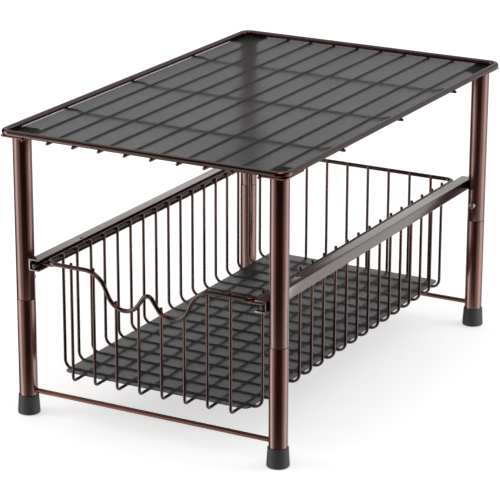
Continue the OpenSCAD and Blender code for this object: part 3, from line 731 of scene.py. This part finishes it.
def rail(name, side):
    part = Part("rail_channel_" + name)
    low_x, top_z = RAIL_X - RAIL_W, RAIL_Z + RAIL_H
    stop_x0, stop_x1 = low_x + STOP_INSET, RUNNER_X - RUNNER_R - STOP_PLAY
    stop_y, stop_low = -RAIL_Y + STOP_FROM_FRONT, BASKET_Z - BASKET_RIM_R - STOP_REACH
    # the stop was cut free of the flange and bent down, so its window is as long as the stop is high
    window = top_z - RAIL_T - stop_low
    profile = rail_profile(stop_x0, stop_x1)
    n = len(profile)
    verts = [(side * x, y, z) for y in (-RAIL_Y, stop_y - window, stop_y, RAIL_Y) for x, z in profile]
    top0, top1 = profile.index((stop_x0, top_z)), profile.index((stop_x1, top_z))
    under0, under1 = profile.index((stop_x0, top_z - RAIL_T)), profile.index((stop_x1, top_z - RAIL_T))
    a, b = n, 2 * n
    opened = [(a + top1, a + top0, b + top0, b + top1), (a + under0, a + under1, b + under1, b + under0)]
    walls = [(a + top0, a + top1, a + under1, a + under0), (b + top0, b + top1, b + under1, b + under0),
             (a + top0, a + under0, b + under0, b + top0), (a + top1, a + under1, b + under1, b + top1)]
    part.add(verts, [face for face in skin(4, n) if face not in opened] + walls + ends(4, n))

    def box(x0, x1, y0, y1, z0, z1):
        part.add([(side * x, y, z) for x in (x0, x1) for y in (y0, y1) for z in (z0, z1)],
                 [(0, 1, 3, 2), (4, 6, 7, 5), (0, 4, 5, 1), (2, 3, 7, 6), (0, 2, 6, 4), (1, 5, 7, 3)])

    box(stop_x0 + STOP_HAIR, stop_x1 - STOP_HAIR, stop_y - RAIL_T, stop_y - STOP_HAIR,
        stop_low, top_z - STOP_HAIR)
    box(low_x + LIP_HAIR, RAIL_X - RAIL_BEND, RAIL_Y - RAIL_T, RAIL_Y - LIP_HAIR,
        RAIL_Z + RAIL_T + LIP_HAIR, RAIL_Z + LIP_H)
    part.make(RAIL, "frame", ["rail_" + name], sharp=28.0,
              extra=lambda obj: edit_mesh(obj, bevel_sharp_edges))


for name, side in SIDES.items():
    rail(name, side)

# ---------------------------------------------------------------------------
# The wave in the front of the basket's rim: a low arc on either side of a small peak, with
# straights between them and a shoulder up to the rim's height on the outside. x is from its middle.
# ---------------------------------------------------------------------------
IN_SLOPE, OUT_SLOPE = math.radians(54.8), math.radians(64.3)
DIP_X, DIP_Z, DIP_R, PEAK_R, SHOULDER_R = 24.2, 116.2, 17.6, 5.4, 23.4
DIP_CENTRE = DIP_Z + DIP_R
# where the low arc meets the inner and the outer straight
IN_X, IN_Z = DIP_X - DIP_R * math.sin(IN_SLOPE), DIP_CENTRE - DIP_R * math.cos(IN_SLOPE)
OUT_X, OUT_Z = DIP_X + DIP_R * math.sin(OUT_SLOPE), DIP_CENTRE - DIP_R * math.cos(OUT_SLOPE)
# where the outer straight, extended, reaches the rim's height
SHOULDER_X = OUT_X + (BASKET_Z - OUT_Z) / math.tan(OUT_SLOPE)


def wave_corners():
    """Corners and radii of the wave, from the left to the right."""
    inner, outer = math.tan(IN_SLOPE), math.tan(OUT_SLOPE)
    # the two straights of one low arc, extended, meet under it
    meet_x = (OUT_X * outer + IN_X * inner + IN_Z - OUT_Z) / (inner + outer)
    meet_z = IN_Z - (meet_x - IN_X) * inner
    half = [(SHOULDER_X, BASKET_Z, SHOULDER_R), (meet_x, meet_z, DIP_R)]
    left = [(-x, z, r) for x, z, r in half]
    return left + [(0.0, IN_Z + IN_X * inner, PEAK_R)] + half[::-1]


def wave_height(x):
    """Height of the wave's centre line at a distance x from the middle."""
    top_x = PEAK_R * math.sin(IN_SLOPE)
    top_z = IN_Z + (IN_X - top_x) * math.tan(IN_SLOPE)
    reach = SHOULDER_R * math.tan(OUT_SLOPE / 2)
    if x < top_x:
        return top_z - PEAK_R * math.cos(IN_SLOPE) + math.sqrt(PEAK_R ** 2 - x * x)
    if x < IN_X:
        return top_z - (x - top_x) * math.tan(IN_SLOPE)
    if x < OUT_X:
        return DIP_CENTRE - math.sqrt(DIP_R ** 2 - (x - DIP_X) ** 2)
    if x < SHOULDER_X - reach * math.cos(OUT_SLOPE):
        return OUT_Z + (x - OUT_X) * math.tan(OUT_SLOPE)
    if x < SHOULDER_X + reach:
        return BASKET_Z - SHOULDER_R + math.sqrt(SHOULDER_R ** 2 - (SHOULDER_X + reach - x) ** 2)
    return BASKET_Z


# ---------------------------------------------------------------------------
# Basket
# ---------------------------------------------------------------------------
def basket_rim():
    corners = [(x, y, BASKET_Z, BASKET_CORNER) for x, y in
               ((BASKET_X, BASKET_REAR), (-BASKET_X, BASKET_REAR), (-BASKET_X, BASKET_FRONT))]
    corners += [(x, BASKET_FRONT, z, r) for x, z, r in wave_corners()]
    corners.append((BASKET_X, BASKET_FRONT, BASKET_Z, BASKET_CORNER))
    part = Part("basket_rim_rod")
    path = fillet_path([c[:3] for c in corners], [c[3] for c in corners], closed=True, step=5.0)
    sweep(part, path, BASKET_RIM_R, THICK_ROD, closed=True)
    part.make(WIRE, "basket", ["basket_rim"])


def u_wire(part, corners, radius, normal):
    """One of the basket's wires, bent to a U."""
    path = fillet_path(corners, [0, radius, radius, 0], step=7.5)
    sweep(part, path, BASKET_WIRE_R, THIN_ROD, cut=WIRE_CUT, normal=normal)


def basket_side_wires():
    part = Part("basket_side_rods")
    x, top = WIRE_X, BASKET_Z + WIRE_ABOVE
    for y in BASKET_SIDE_Y:
        u_wire(part, [(-x, y, top), (-x, y, SIDE_LOW), (x, y, SIDE_LOW), (x, y, top)], SIDE_BEND, (0, 1, 0))
    part.make(WIRE, "basket", ["basket_side_wires"])


def basket_long_wires():
    part = Part("basket_long_rods")
    for x in BASKET_LONG_X:
        u_wire(part, [(x, WIRE_FRONT, wave_height(abs(x)) + WIRE_ABOVE), (x, WIRE_FRONT, LONG_LOW),
                      (x, WIRE_REAR, LONG_LOW), (x, WIRE_REAR, BASKET_Z + WIRE_ABOVE)], LONG_BEND, (1, 0, 0))
    part.make(WIRE, "basket", ["basket_long_wires"])


def runner(name, side):
    part = Part("runner_rod_" + name)
    x = side * RUNNER_X
    rod(part, (x, RUNNER_FRONT, RUNNER_Z), (x, RUNNER_REAR, RUNNER_Z), RUNNER_R, THICK_ROD, RUNNER_EDGE)
    part.make(SLIDE_AND_PAINTED_SHADE, "basket", ["runner_" + name])


def runner_links(name, side):
    part = Part("runner_links_" + name)
    for y in LINK_Y:
        rod(part, (side * LINK_IN, y, LINK_Z), (side * LINK_OUT, y, LINK_Z), LINK_R, cut=LINK_EDGE)
    part.make(WIRE, "basket", ())


def runner_cap(name, side):
    """The plastic cap pushed over the runner's front end; its near-black also paints the shade inside the
    rail's mouth.
    """
    part = Part("runner_cap_" + name)
    r, front, rear = RUNNER_R, CAP_FRONT, CAP_FRONT + CAP_L
    nose = [(0, front), (r - CAP_FLAT, front), (r - CAP_TUCK, front + CAP_NOSE)]
    sleeve = [(r + CAP_PROUD, front + CAP_SHOULDER), (r + CAP_PROUD, rear - CAP_TAIL)]
    lathe(part, nose + sleeve + [(r - CAP_TUCK, rear), (0, rear)],
          (side * RUNNER_X, 0, RUNNER_Z), seg=40, along_y=1)
    part.make(SLIDE_AND_PAINTED_SHADE, "basket", (), sharp=32.0)


def basket_liner():
    part = Part("basket_sheet_panel")
    half_x = WIRE_X - BASKET_WIRE_R - BASKET_LINER_GAP_X
    half_y = (WIRE_REAR - WIRE_FRONT) / 2 - BASKET_WIRE_R - BASKET_LINER_GAP_Y
    slab(part, rounded_outline(half_x, half_y, LINER_CORNER, BASKET_MIDDLE),
         SIDE_LOW + BASKET_WIRE_R + BASKET_LINER_LIFT, LINER_T, LINER_EDGE)
    part.make(LOW_SHEET, "basket", ["basket_liner"], sharp=30.0)


basket_rim()
basket_side_wires()
basket_long_wires()
for name, side in SIDES.items():
    runner(name, side)
    runner_links(name, side)
    runner_cap(name, side)
basket_liner()

# ---------------------------------------------------------------------------
# Welds: small beads where rods touch, with their half axes in x, y and z
# ---------------------------------------------------------------------------
LONG_TO_RIM, CROSS_TO_RIM, LONG_TO_CROSS = (1.5, 1.7, 0.55), (1.7, 1.5, 0.55), (1.05, 1.05, 0.4)
SIDE_TO_RIM, FRONT_TO_RIM, SIDE_TO_LONG = (0.45, 1.15, 1.3), (1.15, 0.45, 1.3), (1.0, 1.0, 0.38)
LINK_TO_RIM = (1.4, 1.2, 0.45)


def shelf_welds():
    part = Part("shelf_weld_beads")
    for x in SHELF_LONG_X:
        for end in (-1, 1):
            nugget(part, (x, end * RIM_Y, UNDER_RIM), LONG_TO_RIM)
        for y in SHELF_CROSS_Y:
            nugget(part, (x, y, LONG_Z - SHELF_WIRE_R), LONG_TO_CROSS)
    for y in SHELF_CROSS_Y:
        for side in SIDES.values():
            nugget(part, (side * RIM_X, y, UNDER_RIM), CROSS_TO_RIM)
    part.make(WIRE, "frame", ())


def basket_welds():
    part = Part("basket_weld_beads")
    for y in BASKET_SIDE_Y:
        for side in SIDES.values():
            nugget(part, (side * (BASKET_X - BASKET_RIM_R), y, BASKET_Z), SIDE_TO_RIM)
        for x in BASKET_LONG_X:
            nugget(part, (x, y, SIDE_LOW - BASKET_WIRE_R), SIDE_TO_LONG)
    for x in BASKET_LONG_X:
        nugget(part, (x, BASKET_FRONT + BASKET_RIM_R, wave_height(abs(x))), FRONT_TO_RIM)
        nugget(part, (x, BASKET_REAR - BASKET_RIM_R, BASKET_Z), FRONT_TO_RIM)
    for side in SIDES.values():
        for y in LINK_Y:
            nugget(part, (side * LINK_BEAD_X, y, BASKET_Z - BASKET_RIM_R), LINK_TO_RIM)
    part.make(WIRE, "basket", ())


shelf_welds()
basket_welds()

# The sleeves inside the legs are the CAD's own meshes, with the steel on them.
for name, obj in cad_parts.items():
    if name.startswith("leg_sleeve"):
        for material_slot in obj.material_slots:
            material_slot.material = INNER

# ---------------------------------------------------------------------------
# Studio, in metres: white floor and surround, two side softboxes, a small warm lamp and dark cards
# ---------------------------------------------------------------------------
SURROUND_LIGHT, FLOOR_GLOW = 0.62, 0.50
FLOOR_HALF, FLOOR_Z = 8.0, -0.0002
FLOOR_DARK, FLOOR_LIGHT = (0.90, 0.90, 0.90), (0.92, 0.92, 0.92)
OBJECT_MIDDLE = Vector((0.0, 0.0, 0.13))
TO_CAMERA = math.atan2(-math.cos(CAM_AZ), math.sin(CAM_AZ))
WARM = (1.0, 0.34, 0.16)
# Watts per square metre at which a lamp is as bright as white
LAMP_WATTS = 4.0
CARD_STEPS = 24


def seen_background(tree, low, high):
    """Strength of a white background: high where it is seen, straight or in metal or glass."""
    paths = tree.nodes.new("ShaderNodeLightPath")
    seen = paths.outputs["Is Camera Ray"]
    for name in ("Is Glossy Ray", "Is Transmission Ray"):
        either = tree.nodes.new("ShaderNodeMath")
        either.operation = "MAXIMUM"
        tree.links.new(seen, either.inputs[0])
        tree.links.new(paths.outputs[name], either.inputs[1])
        seen = either.outputs[0]
    level = tree.nodes.new("ShaderNodeMapRange")
    level.inputs["To Min"].default_value = low
    level.inputs["To Max"].default_value = high
    tree.links.new(seen, level.inputs["Value"])
    return level.outputs["Result"]


def white_floor():
    """A pale matt floor that takes the object's shadow and glows a little where it is seen."""
    f = FLOOR_HALF
    floor = new_object("floor", [(-f, -f, 0), (f, -f, 0), (f, f, 0), (-f, f, 0)], [(0, 1, 2, 3)])
    floor.location.z = FLOOR_Z
    floor.visible_glossy = False
    m = Nodes("floor_white")
    paper = m.node("ShaderNodeBsdfDiffuse")
    m.link(m.ramp(m.noise(30.0), 0.3, FLOOR_DARK, 0.7, FLOOR_LIGHT), paper.inputs["Color"])
    glow = m.node("ShaderNodeEmission", Color=(*WHITE, 1.0))
    m.link(seen_background(m.tree, 0.0, FLOOR_GLOW), glow.inputs["Strength"])
    both = m.node("ShaderNodeAddShader")
    m.link(paper.outputs[0], both.inputs[0])
    m.link(glow.outputs[0], both.inputs[1])
    m.link(both.outputs[0], m.out.inputs["Surface"])
    floor.data.materials.append(m.mat)


def white_surround():
    world = bpy.data.worlds.new("studio")
    bpy.context.scene.world = world
    world.use_nodes = True
    tree = world.node_tree
    tree.nodes.clear()
    sky = tree.nodes.new("ShaderNodeBackground")
    sky.inputs["Color"].default_value = (*WHITE, 1.0)
    tree.links.new(seen_background(tree, SURROUND_LIGHT, 1.0), sky.inputs["Strength"])
    out = tree.nodes.new("ShaderNodeOutputWorld")
    tree.links.new(sky.outputs[0], out.inputs["Surface"])


def around(turn, rise, far):
    """A place around the object: degrees from the camera's side, degrees up, metres away."""
    a, e = TO_CAMERA + math.radians(turn), math.radians(rise)
    return OBJECT_MIDDLE + far * Vector((math.cos(a) * math.cos(e), math.sin(a) * math.cos(e), math.sin(e)))


def softbox(name, turn, rise, far, wide, tall, level, colour=WHITE):
    """A rectangular lamp that faces the object; level is its brightness, 1 is white."""
    data = bpy.data.lights.new(name, "AREA")
    data.shape = "RECTANGLE"
    data.size, data.size_y = wide, tall
    data.energy = level * wide * tall * LAMP_WATTS
    data.color = colour
    lamp = bpy.data.objects.new(name, data)
    bpy.context.scene.collection.objects.link(lamp)
    lamp.location = around(turn, rise, far)
    lamp.rotation_euler = (OBJECT_MIDDLE - lamp.location).to_track_quat("-Z", "Y").to_euler()
    lamp.visible_camera = False
    return lamp


def card(name, turn, rise, far, colour):
    """A curved dark card around the object, seen only in shiny metal; turn and rise are its ends."""
    verts = []
    for i in range(CARD_STEPS + 1):
        at_turn = turn[0] + (turn[1] - turn[0]) * i / CARD_STEPS
        verts += [around(at_turn, rise[0], far), around(at_turn, rise[1], far)]
    obj = new_object(name, verts, [(i, i + 2, i + 3, i + 1) for i in range(0, 2 * CARD_STEPS, 2)])
    m = Nodes(name)
    dark = m.node("ShaderNodeBsdfDiffuse")
    m.link(m.ramp(m.noise(3.0), 0.3, colour, 0.7, times(colour, 1.2)), dark.inputs["Color"])
    m.link(dark.outputs[0], m.out.inputs["Surface"])
    obj.data.materials.append(m.mat)
    obj.visible_camera = False
    obj.visible_diffuse = False
    obj.visible_shadow = False
    obj.visible_transmission = False


white_floor()
white_surround()
softbox("left_softbox", turn=-82, rise=-8, far=1.5, wide=0.70, tall=2.2, level=2.7)
softbox("right_softbox", turn=87, rise=-6, far=1.6, wide=1.1, tall=2.2, level=1.9)
glint = softbox("top_lamp", turn=4, rise=64, far=1.1, wide=0.40, tall=0.40, level=8.0, colour=WARM)
glint.visible_diffuse = False
card("side_card", turn=(-112, -150), rise=(-45, 34), far=1.8, colour=(0.03, 0.02, 0.02))
card("front_card", turn=(-38, 36), rise=(-42, 14), far=1.2, colour=(0.03, 0.010, 0.006))
card("top_card", turn=(-72, 70), rise=(14, 62), far=1.2, colour=(0.03, 0.012, 0.008))
